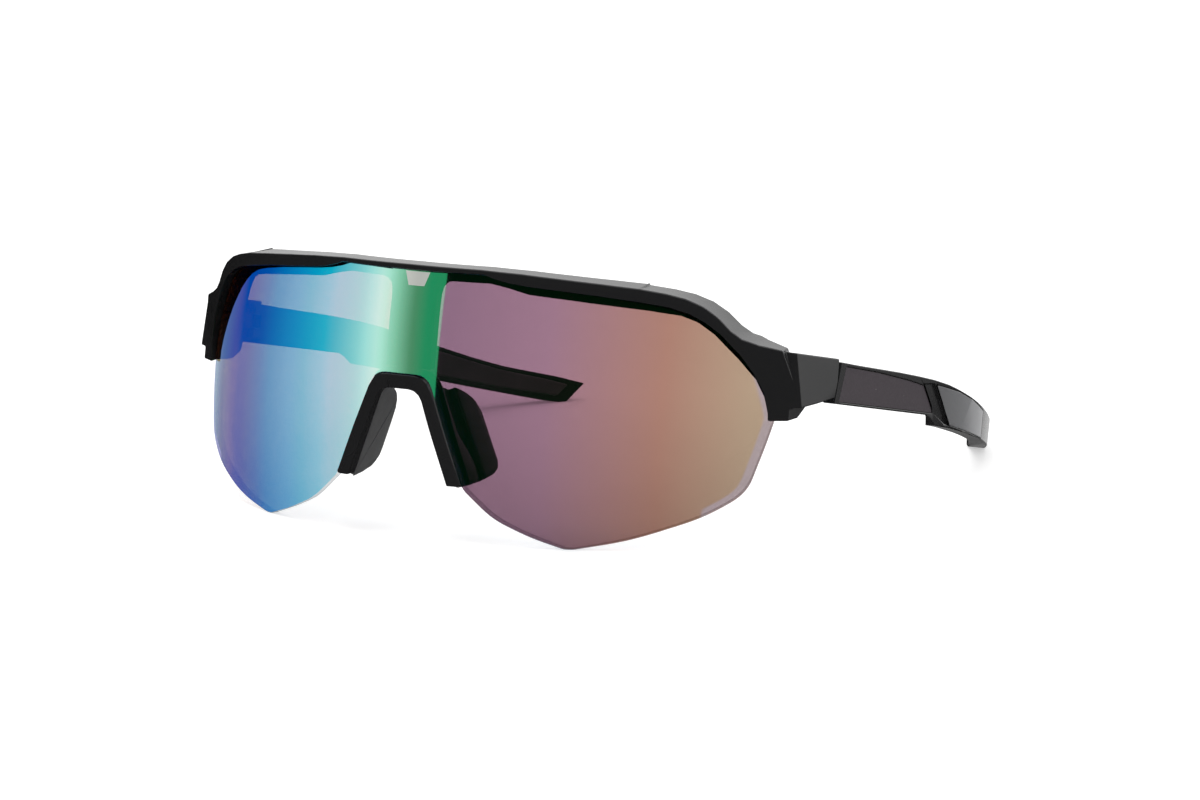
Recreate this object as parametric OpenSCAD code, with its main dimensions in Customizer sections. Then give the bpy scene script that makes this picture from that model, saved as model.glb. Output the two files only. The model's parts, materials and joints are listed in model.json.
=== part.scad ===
// Shield sunglasses: one curved lens in a brow frame, a nose bridge with two pads, and two folding temples.
// The glasses stand as on a table, on the two points of the lens and on the two temple ends.
// X runs to the wearer's left, Y to the back and Z up. Sizes are in millimetres.

/* [Lens] */
// Half of the lens's width across its side edges
lens_half_w = 66.4; // [62:0.1:70]
// Height of the lens from its two points to its top edge
lens_h = 52.2; // [48:0.1:56]
// Thickness of the lens
lens_t = 1.9; // [1.5:0.1:2.3]
// How much the radius of the lens seen from above, at its widest level, exceeds its half width
wrap_over = 20.5; // [17:0.1:28]
// How far the slight bow of the lens, seen from the side, carries its top back
bow_depth = 6.371; // [4.5:0.1:8]
// Depth of the bow's widest level below the table
bow_drop = 2.5; // [0:0.1:8]
// Length of the flat at each point of the lens
tip_flat = 1.6; // [0.8:0.1:3]

/* [Brow frame] */
// How far the frame's top rises above the lens's top at the middle
brow_rise = 1.2; // [0.8:0.1:3]
// How much the radius of the frame's face seen from above exceeds the lens's
face_over = 10.1; // [7.5:0.1:13]
// How far the frame's face lies behind the lens's front, at the middle
face_y = 5.3; // [4.6:0.1:5.8]
// How much the radius of the back of the frame's band falls short of the lens's
band_under = 3.1; // [1:0.1:5]
// Depth of the frame's band at the middle
band_depth = 4.8; // [4.6:0.1:6]
// Clearance between the lens and what holds it
lens_gap = 0.08; // [0.05:0.01:0.15]
// Width of the strut down to the nose bridge
strut_w = 10.4; // [8:0.1:13]
// Thickness of the strut
strut_t = 2.2; // [1.6:0.1:3]
// Distance of each side face outside the lens's side edge
side_out = 5.2; // [4.4:0.1:7]

/* [Hinges] */
// How far the frame's front corners lie inside the side faces
shoulder_in = 0.7; // [0.5:0.1:1.2]
// Lean of the endpieces' side faces, bottoms outwards
side_lean = 8.5; // [6:0.5:10]
// Distance of each hinge axis inside the side face
axis_inset = 4.2; // [4:0.1:5]
// Distance of the hinge axes behind the lens's side edges
hinge_back = 15.741; // [13:0.1:20]
// Height of the middle of each hinge, as a share of the frame's height
hinge_z_share = 0.5674; // [0.555:0.001:0.58]
// Radius of the hinge barrels
barrel_r = 2.1; // [1.8:0.05:2.3]
// Height of the three barrels together
hinge_h = 7; // [6.6:0.1:7.4]
// Height of the temple's barrel
temple_barrel_h = 2.8; // [2.4:0.1:3]
// Clearance between barrels along the axis
barrel_gap = 0.12; // [0.08:0.01:0.2]
// Clearance between a barrel and the slot round it
slot_gap = 0.25; // [0.2:0.01:0.35]
// Width of the seam between the frame and a temple
seam_gap = 0.4; // [0.3:0.05:0.6]
// Lean of that seam to the hinge axis
seam_lean = 9; // [4:0.5:12]
// Radius of the hinge screw's shank
shank_r = 0.7; // [0.6:0.05:0.8]
// Radius of the hinge screw's head
head_r = 1.2; // [1.05:0.05:1.3]
// Height of the hinge screw's head
head_h = 0.7; // [0.5:0.05:0.9]
// Radius of the threaded insert
insert_r = 1.15; // [1.05:0.05:1.3]
// Radial clearance of the screw in the temple's barrel
running_gap = 0.04; // [0.02:0.01:0.08]
// Radial clearance of parts that don't turn
seat_gap = 0.02; // [0.01:0.005:0.04]

/* [Nose bridge and pads] */
// Width of each leg of the nose bridge at its foot
leg_w = 2.9; // [2.6:0.1:3.4]
// Height of the nose bridge's top bar
bar_h = 2.8; // [2.2:0.1:3.4]
// How far the bridge's lip stands proud of the lens
lip_proud = 0.5; // [0.3:0.1:0.9]
// How far the bridge laps the lens behind the notch
lap = 0.8; // [0.6:0.1:1.2]
// Depth of the bridge at its top, behind the lens's front
bridge_top_depth = 5.1; // [5:0.1:5.8]
// Depth of the bridge at its feet, behind the lens's front
bridge_foot_depth = 8.2; // [7.6:0.1:8.6]
// Thickness of each nose pad
pad_t = 3.8; // [3.2:0.1:4.6]
// Height of each nose pad along its slope
pad_h = 21.2; // [19:0.1:22]
// Depth of each nose pad from front to back
pad_d = 11.1; // [10:0.1:12.5]
// Outward splay of the pads towards the back
pad_splay = 8; // [5:0.5:10]

/* [Temples] */
// Length of each temple behind its hinge axis
temple_l = 103.8; // [100:0.1:112]
// Height above the table of the temple's middle line, carried on to its end
temple_end_z = 8.719; // [8:0.1:9.5]
// Height of each temple at the hinge
temple_h = 8.4; // [8.2:0.1:9.6]
// Thickness of each temple at the hinge
temple_t = 4.2; // [4:0.1:4.6]
// Thickness of each temple at its end
tip_t = 3.6; // [3.2:0.1:4]
// Length of the straight stretch before a temple bends inwards
straight_l = 42; // [38:0.1:48]
// Radius of the inward bend
bend_r = 110; // [95:1:130]
// Thickness of the matt inlay
inlay_t = 0.9; // [0.6:0.1:1.2]
// How far the inlay and the groove behind it lie below the face
inlay_sink = 0.15; // [0.1:0.05:0.3]
// Thickness of the cover at the temple's end
cover_t = 1; // [0.7:0.1:1.2]
// Thickness of the rubber grip on the inside
grip_t = 1.2; // [0.8:0.1:1.4]

/* [Hidden] */
$fn = 96;
// Steps round the wide circles of the lens and the frame
wrap_steps = 240;

left = 1;
right = -1;

// What every cut runs past the surface that it opens
overrun = 1;
// Steps of the bow, of a rounded corner and of the temple's bend
bow_steps = 5;
corner_steps = 3;
bend_steps = 14;
// The most of a side that a rounded corner may take
most_cut_share = 0.45;

// The frame and the lens's radius follow the lens's size
frame_h = lens_h + brow_rise;
side_half_w = lens_half_w + side_out;
wrap_r = lens_half_w + wrap_over;
bow_r = (pow(lens_h + bow_drop, 2) + bow_depth * bow_depth) / (2 * bow_depth);
face_r = wrap_r + face_over;
band_back_r = wrap_r - band_under;

// Heights between which the curved shells are made
shell_low = -overrun;
shell_high = frame_h + overrun;

// The lens's outline, as shares of its half width and height, and each corner's cut as a share of the height
notch_corner_share = [0.094, 0.615];
notch_foot_share = [0.222, 0.205];
point_x_share = 0.531;
lens_side_shares = [
    [0.692, 0.037, 0.09], [0.862, 0.118, 0.07], [0.953, 0.2, 0.055], [0.986, 0.375, 0.06], [1, 0.47, 0.02],
    [0.996, 0.51, 0.02], [0.968, 0.646, 0.03], [0.936, 0.72, 0.03], [0.89, 0.8, 0.03], [0.856, 0.848, 0.03],
    [0.815, 0.886, 0.03], [0.764, 0.912, 0.03], [0.58, 0.951, 0.05], [0.36, 0.983, 0.03]
];
lens_top_share = 0.256;

// How far the lens's side edges and the frame's top corners are turned inwards, and how far beyond them
// the outline that is carried straight back reaches, as a factor
lens_side_turn = 40;
frame_side_turn = 12;
side_reach = 1.25;

// The frame's top edge, as shares of the side half width and the frame's height
frame_top_shares = [
    [0, 1], [0.223, 0.998], [0.335, 0.99], [0.44, 0.9775], [0.542, 0.9635], [0.638, 0.9475],
    [0.698, 0.931], [0.743, 0.912], [0.782, 0.883], [0.814, 0.843], [0.842, 0.792], [0.865, 0.762],
    [0.901, 0.738], [0.95, 0.715]
];
shoulder_top_share = 0.697;
// Where the frame's top corners start, as a share of the side half width
frame_corner_share = 0.6;
// The edge of the frame's face around the lens, and of its rim behind, as shares of the lens's half size
face_edge_shares = [
    [0.25, 1.002], [0.28, 0.988], [0.324, 0.975], [0.377, 0.966], [0.474, 0.954], [0.58, 0.939],
    [0.69, 0.918], [0.76, 0.9], [0.81, 0.875], [0.849, 0.841], [0.885, 0.796], [0.931, 0.715], [0.962, 0.642],
    [0.981, 0.581], [0.99, 0.508], [0.993, 0.464]
];
rim_edge_shares = [
    [0.245, 0.961], [0.3, 0.947], [0.36, 0.927], [0.47, 0.912], [0.58, 0.894], [0.68, 0.8755], [0.756, 0.856],
    [0.798, 0.83], [0.838, 0.783], [0.896, 0.689], [0.936, 0.614], [0.96, 0.536], [0.972, 0.46]
];
// The endpiece's top and bottom edges, as shares of the hinge's distance and of the frame's height
endpiece_top_shares = [[0.5, 0.78], [0.72, 0.705], [1.1, 0.63]];
endpiece_low_share = 0.505;
lug_low_share = 0.459;
lug_back_shares = [0.755, 0.85];
// How far the lug under each endpiece lies inside the side face
lug_in = 2.3;
// Where the endpiece's own front facet leaves the frame's face, as a share of the side half width, how far it
// is turned from the front, and its lean, tops to the back
facet_share = 0.93;
facet_turn = 34;
facet_lean = 8;
// The inner line of the band, before its face and rim are cut, as shares of the side half width and height
band_in_shares = [[0, 0.87], [0.6, 0.82], [0.72, 0.78], [0.79, 0.459]];
// Thickness of the endpiece's side wall, and the inner line of the endpiece in front of it, as shares of the
// side half width and of the hinge's distance
endpiece_t = 5;
endpiece_in_shares = [[0.8, 0.4], [0.86, 0.75], [0.89, 0.78]];
wall_from_share = 0.9;

strut_fillet = 3.4;
tongue_w = 4.6;
tongue_l = 2.2;
tongue_cut = 0.6;

// The level at which the lens is widest, as a share of its height
widest_share = 0.47;
hinge_x = side_half_w - axis_inset;
hinge_y = lens_at([lens_half_w, widest_share * lens_h]) + hinge_back;
hinge_z = hinge_z_share * frame_h;
// Lean of the hinge axes, tops to the back, at which the temples' ends reach the table
hinge_lean = asin((hinge_z - temple_end_z) / temple_l);
screw_clear_r = shank_r + running_gap;
frame_bore_r = shank_r + seat_gap;
slot_r = barrel_r + slot_gap;
frame_barrel_h = (hinge_h - temple_barrel_h) / 2 - barrel_gap;
frame_barrel_z = temple_barrel_h / 2 + barrel_gap;
// Material above the threaded insert, and length of the neck between a temple and its barrel
insert_roof = 0.5;
insert_h = frame_barrel_h - insert_roof - barrel_gap;
neck_l = 3.4;
// Width and depth of the screw's slot
slot_w = 0.4;
slot_depth = 0.35;

// The temple's outline from the side, as shares of its length and of its height at the hinge
temple_top_shares = [
    [0.08, 0.418], [0.25, 0.388], [0.331, 0.358], [0.396, 0.323], [0.466, 0.253], [0.521, 0.166],
    [0.586, 0.055], [0.672, -0.103], [0.735, -0.23], [0.823, -0.385], [0.944, -0.5]
];
temple_end_shares = [[1, -0.6], [0.966, -1.19]];
temple_low_shares = [[0.616, -0.893], [0.49, -0.8], [0.418, -0.777], [0.393, -0.62], [0.37, -0.54]];
temple_front_share = 0.44;
temple_foot_share = -0.54;
// Where the temple's deeper stretch starts on its inner face
step_inside_share = 0.458;
inlay_shares = [
    [0.029, 0.345], [0.163, 0.31], [0.291, 0.22], [0.355, 0.147], [0.391, -0.3], [0.4, -0.484], [0.013, -0.49]
];
groove_shares = [[0.352, 0.19], [0.398, 0.226], [0.4855, -0.735], [0.455, -0.7], [0.408, -0.495]];
cover_shares = [
    [0.405, 0.207], [0.522, 0.113], [0.602, -0.02], [0.685, -0.2], [0.71, -0.26],
    [0.716, -0.94], [0.691, -0.92], [0.601, -0.835], [0.528, -0.76], [0.4855, -0.72]
];
grip_shares = [
    [0.511, 0.06], [0.674, -0.22], [0.819, -0.49], [0.915, -0.59], [0.967, -0.68],
    [0.946, -1.02], [0.819, -0.95], [0.511, -0.7]
];
// Depth of the groove between a temple's inlay and its cover, and how far the grip stands proud
groove_sink = 0.6;
grip_proud = 0.3;

bridge_corner = notch_corner_share.x * lens_half_w;
bridge_top = notch_corner_share.y * lens_h;
foot_x = notch_foot_share.x * lens_half_w;
foot_z = notch_foot_share.y * lens_h;
notch_cut = 3.2;
foot_cut = 0.9;
bridge_slope = (foot_x - bridge_corner) / (bridge_top - foot_z);
foot_rise = 0.6;
bridge_low = foot_z + foot_rise;
strut_low = bridge_top + lap + lens_gap;
// The opening between the bridge's legs
opening_top = bridge_top - bar_h;
opening_corner = bridge_corner + bar_h * bridge_slope - leg_w;
opening_cut = 2.2;
// Heights between which the legs' backs slope, as shares of the bridge's height
leg_steep_share = 0.43;
leg_slim_share = 0.66;

// Where a pad starts behind the lens's front, and the height of its middle
pad_front = 3.4;
pad_mid_z = 19.8;
// The pad's outline, as shares of its depth and of half its height, and each corner's cut as a share of its
// depth
pad_shares = [
    [0, -0.94, 0.06], [0.35, -0.98, 0.2], [0.8, -0.9, 0.15], [0.96, -0.68, 0.1], [1, -0.23, 0.2],
    [0.93, 0.3, 0.2], [0.78, 0.6, 0.15], [0.35, 0.91, 0.2], [0, 1, 0.06]
];
// Thickness of a pad in front of its heel, length of that stretch, and the cut of the pad's edges
pad_face_t = 1.8;
pad_face_l = 5.2;
pad_edge = 0.9;

// Front and back of the standing glasses, whose middle is the origin
front_x = opening_corner + (opening_top - bridge_low) * bridge_slope;
front_y = wrap_r - sqrt(pow(wrap_at(bridge_low) + lip_proud, 2) - front_x * front_x);
back_y = hinge_y + temple_l * cos(hinge_lean) + temple_end_shares[0].y * temple_h * sin(hinge_lean);
mid_y = (front_y + back_y) / 2;

// Radius of the lens's outer face about its upright axis at height z
function wrap_at(z) = wrap_r - bow_r + sqrt(bow_r * bow_r - pow(z + bow_drop, 2));
// Depth of the lens's outer face at x and z
function lens_at(p) = wrap_r - sqrt(pow(wrap_at(p.y), 2) - p.x * p.x);
// Depth of the frame's face at x
function face_at(x) = face_y + face_r - sqrt(face_r * face_r - x * x);
function unit(v) = v / norm(v);
function flat(p) = [p.x, p.y];
// Points given as shares of two sizes, with any third value kept as a share of a third size
function sized(shares, w, h, c = 0) = [for (p = shares) [p.x * w, p.y * h, len(p) > 2 ? p[2] * c : 0]];
function turned_back(p) = [for (i = [len(p) - 1:-1:0]) p[i]];
function mirrored_x(p) = [for (q = turned_back(p)) [-q.x, q.y, q.z]];
// A corner between two neighbours, rounded by a curve that leaves each side at the corner's cut
function corner(a, b, c) =
    let (before = flat(a) - flat(b), after = flat(c) - flat(b))
    let (cut = min(b.z, most_cut_share * min(norm(before), norm(after))))
    let (p = flat(b) + cut * unit(before), q = flat(b) + cut * unit(after))
    b.z == 0 ? [flat(b)] : [
        for (k = [0:corner_steps])
            let (t = k / corner_steps)
            (1 - t) * (1 - t) * p + 2 * t * (1 - t) * flat(b) + t * t * q
    ];
function rounded(p) =
    let (n = len(p))
    [for (i = [0:n - 1]) each corner(p[(i + n - 1) % n], p[i], p[(i + 1) % n])];
// An outline that runs anticlockwise, moved outwards by m
function grown(p, m) =
    let (n = len(p))
    [
        for (i = [0:n - 1])
            let (u = unit(p[i] - p[(i + n - 1) % n]), w = unit(p[(i + 1) % n] - p[i]), v = unit(u + w))
            p[i] + m * [v.y, -v.x]
    ];

// Half of the lens's outline from the middle of the notch round to the middle of the top
point_x = point_x_share * lens_half_w;
low_edge_shares = [[0.3, 0.5], [0.65, 0.2]];
lens_half = concat(
    [[bridge_corner, bridge_top, notch_cut], [foot_x, foot_z, foot_cut]],
    [for (p = low_edge_shares) [foot_x + (point_x - foot_x) * p.x, foot_z * p.y, 3 * foot_cut]],
    [[point_x - tip_flat / 2, 0, 0], [point_x + tip_flat / 2, 0, 0]],
    sized(lens_side_shares, lens_half_w, lens_h, lens_h),
    [[lens_top_share * lens_half_w, lens_h, foot_cut]]
);
lens_outline = rounded(concat(lens_half, mirrored_x(lens_half)));

// Everything in front coordinates is moved so that the origin is below the middle of the glasses
module placed() {
    translate([0, -mid_y, 0])
        children();
}

// The solid inside the lens's outer face, moved out by m, about the lens's upright axis
module wrap_solid(m) {
    levels = [for (i = [0:bow_steps]) shell_low + i * (shell_high - shell_low) / bow_steps];
    translate([0, wrap_r, 0])
        rotate_extrude($fn = wrap_steps)
            polygon(concat([[0, shell_low]], [for (z = levels) [wrap_at(z) + m, z]], [[0, shell_high]]));
}

// A shell about the same axis, from outside the lens's outer face to inside it
module wrap_shell(outside, inside) {
    levels = [for (i = [0:bow_steps]) shell_low + i * (shell_high - shell_low) / bow_steps];
    translate([0, wrap_r, 0])
        rotate_extrude($fn = wrap_steps)
            polygon(concat(
                [for (z = levels) [wrap_at(z) + outside, z]],
                [for (z = turned_back(levels)) [wrap_at(z) - inside, z]]
            ));
}

// An outline seen from the front, carried from the front to the hinges
module front_prism(points) {
    translate([0, hinge_y + overrun, 0])
        rotate([90, 0, 0])
            linear_extrude(hinge_y + 4 * overrun)
                polygon([for (p = points) flat(p)]);
}

// An outline seen from the side, as depth and height, carried across the glasses
module side_prism(points, from_x, to_x) {
    translate([from_x, 0, 0])
        rotate([90, 0, 90])
            linear_extrude(to_x - from_x)
                polygon([for (p = points) flat(p)]);
}

module on_side(side) {
    mirror([side == right ? 1 : 0, 0, 0])
        children();
}

// Coordinates of a hinge: X out of the side face, Y back along the temple and Z up the axis
module at_hinge(side) {
    on_side(side)
        translate([hinge_x, hinge_y, hinge_z])
            rotate([-hinge_lean, 0, 0])
                children();
}

// What lies inside the edge that cuts round one side. The edge runs from its lowest point to its highest,
// each given as x, height and depth on the outer face, and is carried back along a line turned inwards.
module turned_side(edge, turn) {
    far = 2 * side_half_w;
    line = [for (p = edge) [p.x * cos(turn) + p.z * sin(turn), p.y]];
    last = line[len(line) - 1];
    rest = [[last.x, 2 * frame_h], [-far, 2 * frame_h], [-far, -frame_h], [line[0].x, -frame_h]];
    rotate([0, 0, turn])
        translate([0, far, 0])
            rotate([90, 0, 0])
                linear_extrude(2 * far)
                    polygon(concat(line, rest));
}

// The lens, moved out by m all round, with its side edges about square to its face
module lens_form(m) {
    outline = grown(lens_outline, m);
    edge = [for (p = outline) if (p.x > point_x) [p.x, p.y, lens_at(p)]];
    intersection() {
        wrap_shell(m, lens_t + m);
        front_prism([for (p = outline) [abs(p.x) > point_x ? side_reach * p.x : p.x, p.y]]);
        on_side(left)
            turned_side(edge, lens_side_turn);
        on_side(right)
            turned_side(edge, lens_side_turn);
    }
}

module shield_lens() {
    color([0.25, 0.5, 0.68, 0.8])
        placed()
            lens_form(0);
}

// What lies inside an upright cylinder of radius r whose front is y behind the lens's front
module upright(r, y) {
    translate([0, y + r, 0])
        cylinder(r = r, h = frame_h, $fn = wrap_steps);
}

// The frame's band across the brow and down to the lens's side edges, inside its face
module brow_band() {
    top = sized(frame_top_shares, side_half_w, frame_h);
    low = lug_low_share * frame_h;
    shoulder = [
        [side_half_w, shoulder_top_share * frame_h, 0], [side_half_w, endpiece_low_share * frame_h, 0],
        [side_half_w - lug_in, endpiece_low_share * frame_h, 0], [side_half_w - lug_in, low, 0]
    ];
    ring = concat(top, shoulder, turned_back(sized(band_in_shares, side_half_w, frame_h)));
    corner_x = frame_corner_share * side_half_w;
    top_corner = [for (p = turned_back(top)) if (p.x > corner_x) [p.x, p.y, face_at(p.x)]];
    edge = concat([[side_half_w, low, face_at(side_half_w)]], top_corner);
    difference() {
        intersection() {
            front_prism(concat(ring, mirrored_x([for (p = ring) if (p.x > 0) p])));
            upright(face_r, face_y);
            on_side(left)
                turned_side(edge, frame_side_turn);
            on_side(right)
                turned_side(edge, frame_side_turn);
        }
        upright(band_back_r, face_y + band_depth);
        translate([-2 * side_half_w, face_at(side_half_w), 0])
            cube([4 * side_half_w, hinge_y, frame_h]);
    }
}

// What the leaning side face cuts from an endpiece
module side_cut(side) {
    on_side(side)
        translate([side_half_w, hinge_y, hinge_z])
            rotate([0, -side_lean, -atan(shoulder_in / (hinge_y - face_at(side_half_w)))])
                translate([0, -2 * hinge_y, -frame_h])
                    cube([side_half_w, 4 * hinge_y, 2 * frame_h]);
}

// The block that carries the band back to the hinge, with the lug under it that holds the lens's side
module endpiece(side) {
    inner_x = side_half_w - endpiece_t;
    back = hinge_y + hinge_h / 2;
    inner_line = [for (p = endpiece_in_shares) [p.x * side_half_w, p.y * hinge_y]];
    outer = [[side_half_w, back], [side_half_w, inner_line[0].y]];
    block = concat(inner_line, [[inner_x, wall_from_share * hinge_y], [inner_x, back]], outer);
    top = [for (p = turned_back(endpiece_top_shares)) [p.x * hinge_y, p.y * frame_h]];
    low = endpiece_low_share * frame_h;
    lug_low = lug_low_share * frame_h;
    profile = concat(top, [
        [top[2].x, lug_low], [lug_back_shares[0] * hinge_y, lug_low], [lug_back_shares[1] * hinge_y, low],
        [top[0].x, low]
    ]);
    facet_x = facet_share * side_half_w;
    on_side(side)
        difference() {
            intersection() {
                linear_extrude(frame_h)
                    polygon(block);
                side_prism(profile, 0, 2 * side_half_w);
            }
            translate([facet_x, face_at(facet_x), low])
                rotate([-facet_lean, 0, facet_turn])
                    translate([-side_half_w, -hinge_y, -frame_h])
                        cube([2 * side_half_w, hinge_y, 2 * frame_h]);
            translate([side_half_w - lug_in, 0, 0])
                cube([2 * lug_in, 2 * hinge_y, low]);
        }
}

// What the seam and the temple's barrel take from an endpiece
module hinge_room(side) {
    reach = 2 * hinge_h;
    at_hinge(side) {
        rotate([-seam_lean, 0, 0])
            translate([-reach, -seam_gap / 2, -reach])
                cube([2 * reach, reach, 2 * reach]);
        translate([-reach, -slot_r, -frame_barrel_z])
            cube([reach + slot_r, reach, 2 * frame_barrel_z]);
    }
}

module frame_barrels(side) {
    at_hinge(side)
        for (low = [frame_barrel_z, -frame_barrel_z - frame_barrel_h])
            translate([0, 0, low]) {
                cylinder(r = barrel_r, h = frame_barrel_h);
                translate([-barrel_r, -slot_r - overrun, 0])
                    cube([2 * barrel_r, slot_r + overrun, frame_barrel_h]);
            }
}

module frame_bores(side) {
    at_hinge(side) {
        translate([0, 0, -hinge_h])
            cylinder(r = frame_bore_r, h = hinge_h);
        translate([0, 0, -hinge_h / 2 - overrun])
            cylinder(r = head_r + seat_gap, h = overrun + head_h);
        cylinder(r = insert_r + seat_gap, h = frame_barrel_z + barrel_gap + insert_h);
    }
}

// The strut behind the lens, with a tongue that plugs into the nose bridge
module strut() {
    rim = rim_edge_shares[0].y * lens_h;
    half = [
        [tongue_w / 2, strut_low - tongue_l, tongue_cut], [tongue_w / 2, strut_low, 0],
        [strut_w / 2, strut_low, 0],
        [strut_w / 2, rim, strut_fillet], [strut_w / 2 + 2 * strut_fillet, rim, 0],
        [strut_w / 2 + 2 * strut_fillet, rim + overrun, 0]
    ];
    intersection() {
        wrap_shell(-lens_t - lens_gap, lens_t + lens_gap + strut_t);
        front_prism(rounded(concat(half, mirrored_x(half))));
    }
}

// The part of the frame in front of the lens that is cut away, and the part behind it
module face_opening() {
    edge = turned_back(sized(face_edge_shares, lens_half_w, lens_h));
    half = concat([[edge[0].x, -overrun, 0]], edge);
    difference() {
        front_prism(concat(half, mirrored_x(half)));
        wrap_solid(0);
    }
}

module rim_opening() {
    edge = turned_back(sized(rim_edge_shares, lens_half_w, lens_h));
    half = concat([[edge[0].x, -overrun, 0]], edge);
    intersection() {
        front_prism(concat(half, mirrored_x(half)));
        wrap_solid(-lens_t);
    }
}

module brow_frame() {
    color([0.05, 0.05, 0.06])
        placed()
            difference() {
                union() {
                    difference() {
                        union() {
                            brow_band();
                            endpiece(left);
                            endpiece(right);
                        }
                        side_cut(left);
                        side_cut(right);
                        lens_form(lens_gap);
                        face_opening();
                        rim_opening();
                        hinge_room(left);
                        hinge_room(right);
                    }
                    strut();
                    frame_barrels(left);
                    frame_barrels(right);
                }
                frame_bores(left);
                frame_bores(right);
            }
}

// The bridge's outline from the front, with its outer line moved out by m
function bridge_outline(m) =
    let (low_x = foot_x - foot_rise * bridge_slope)
    let (half = [[low_x + m, bridge_low, foot_cut], [bridge_corner + m, bridge_top + m, notch_cut]])
    rounded(concat(half, mirrored_x(half)));

// What is left open between the bridge's legs
module bridge_opening() {
    fall = opening_top - bridge_low + overrun;
    low = [opening_corner + fall * bridge_slope, opening_top - fall, 0];
    half = [low, [opening_corner, opening_top, opening_cut]];
    front_prism(rounded(concat(half, mirrored_x(half))));
}

// Coordinates of a pad: X through it away from the nose, Y back and Z up its slope
module at_pad(side) {
    on_side(side)
        translate([opening_corner + (opening_top - pad_mid_z) * bridge_slope, pad_front, pad_mid_z])
            rotate([0, -atan(bridge_slope), 0])
                rotate([0, 0, -pad_splay])
                    children();
}

// The room that a pad takes from the bridge
module pad_room(side) {
    at_pad(side)
        translate([-pad_d, 0, -pad_h / 2 - overrun])
            cube([pad_d + pad_face_t + lens_gap, 2 * pad_d, pad_h + overrun + lens_gap]);
}

module nose_bridge() {
    side_profile = [
        [0, 0], [bridge_foot_depth, 0], [bridge_foot_depth, leg_steep_share * bridge_top],
        [bridge_top_depth, leg_slim_share * bridge_top], [bridge_top_depth, frame_h], [0, frame_h]
    ];
    tongue_x = tongue_w / 2 + lens_gap;
    tongue_half = [[tongue_x, strut_low - tongue_l - lens_gap, 0], [tongue_x, frame_h, 0]];
    color([0.09, 0.09, 0.1])
        placed()
            difference() {
                union() {
                    intersection() {
                        wrap_shell(lip_proud, lens_t + 2 * lens_gap);
                        front_prism(bridge_outline(-lens_gap));
                    }
                    intersection() {
                        wrap_solid(-lens_t - lens_gap);
                        front_prism(bridge_outline(lap));
                        side_prism(side_profile, -lens_half_w, lens_half_w);
                    }
                }
                pad_room(left);
                pad_room(right);
                intersection() {
                    wrap_shell(-lens_t, lens_t + lens_gap + strut_t + lens_gap);
                    front_prism(concat(tongue_half, mirrored_x(tongue_half)));
                }
                bridge_opening();
            }
}

module nose_pad(side) {
    outline = rounded(sized(pad_shares, pad_d, pad_h / 2, pad_d));
    ends = rounded([
        [0, -pad_h / 2, pad_edge], [pad_t, -pad_h / 2, 2 * pad_edge], [pad_t, pad_h / 2, 2 * pad_edge],
        [0, pad_h / 2, pad_edge]
    ]);
    section = rounded([
        [0, 0, 0], [pad_face_t, 0, 0], [pad_face_t, pad_face_l, 0], [pad_t, pad_face_l, pad_edge],
        [pad_t, pad_d, 2 * pad_edge], [0, pad_d, pad_edge]
    ]);
    color([0.2, 0.2, 0.21])
        placed()
            at_pad(side)
                intersection() {
                    side_prism(outline, -overrun, pad_t + overrun);
                    translate([0, 0, -pad_h])
                        linear_extrude(2 * pad_h)
                            polygon(section);
                    translate([0, 2 * pad_d, 0])
                        rotate([90, 0, 0])
                            linear_extrude(3 * pad_d)
                                polygon(ends);
                }
}

module hinge_insert(side) {
    color([0.8, 0.65, 0.3])
        placed()
            at_hinge(side)
                translate([0, 0, frame_barrel_z + barrel_gap])
                    difference() {
                        cylinder(r = insert_r, h = insert_h);
                        translate([0, 0, -overrun])
                            cylinder(r = shank_r + seat_gap / 2, h = insert_h + 2 * overrun);
                    }
}

module hinge_screw(side) {
    low = seat_gap - hinge_h / 2;
    color([0.7, 0.7, 0.72])
        placed()
            at_hinge(side)
                translate([0, 0, low])
                    difference() {
                        union() {
                            cylinder(r = head_r, h = head_h - 2 * seat_gap);
                            cylinder(r = shank_r, h = frame_barrel_z + insert_h - low);
                        }
                        translate([-2 * head_r, -slot_w / 2, -overrun])
                            cube([4 * head_r, slot_w, overrun + slot_depth]);
                    }
}

// The thickness of a temple at distance s along its outer face
function temple_depth(s) = temple_t + (tip_t - temple_t) * min(1, max(0, s / temple_l));
// A point of the temple's plan at distance s along its outer face and depth d below it
function temple_at(s, d) =
    let (a = max(0, s - straight_l) / bend_r * 180 / PI)
    [axis_inset - bend_r + (bend_r - d) * cos(a), min(s, straight_l) + (bend_r - d) * sin(a)];
// Depths d below the outer face or, where from_inside is 1, beyond the inner face
function temple_line(d, from_inside) =
    let (last = 1.1 * temple_l)
    let (bend = [for (i = [0:bend_steps]) straight_l + i * (last - straight_l) / bend_steps])
    let (steps = concat([-barrel_r], bend))
    [for (s = steps) temple_at(s, from_inside * temple_depth(s) + d)];
function side_outline(shares) = [for (p = turned_back(sized(shares, temple_l, temple_h))) flat(p)];
// Where the temple's front end stands at height z on the hinge axis
function butt_y(z) = seam_gap / 2 + z * tan(seam_lean);

// What lies between two lines of a temple's plan and inside an outline seen from the side
module temple_layer(outer_line, inner_line, outline) {
    intersection() {
        translate([0, 0, -2 * temple_h])
            linear_extrude(3 * temple_h)
                polygon(concat(outer_line, turned_back(inner_line)));
        side_prism(outline, -side_half_w, side_half_w);
    }
}

// The hinge's children, cut off at the table
module above_table(side) {
    intersection() {
        at_hinge(side)
            children();
        translate([-2 * side_half_w, 0, 0])
            cube([4 * side_half_w, 2 * temple_l, frame_h]);
    }
}

temple_outline = concat(
    [[butt_y(temple_foot_share * temple_h), temple_foot_share * temple_h]],
    side_outline(temple_low_shares),
    side_outline(temple_end_shares),
    side_outline(temple_top_shares),
    [[butt_y(temple_front_share * temple_h), temple_front_share * temple_h]]
);

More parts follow.
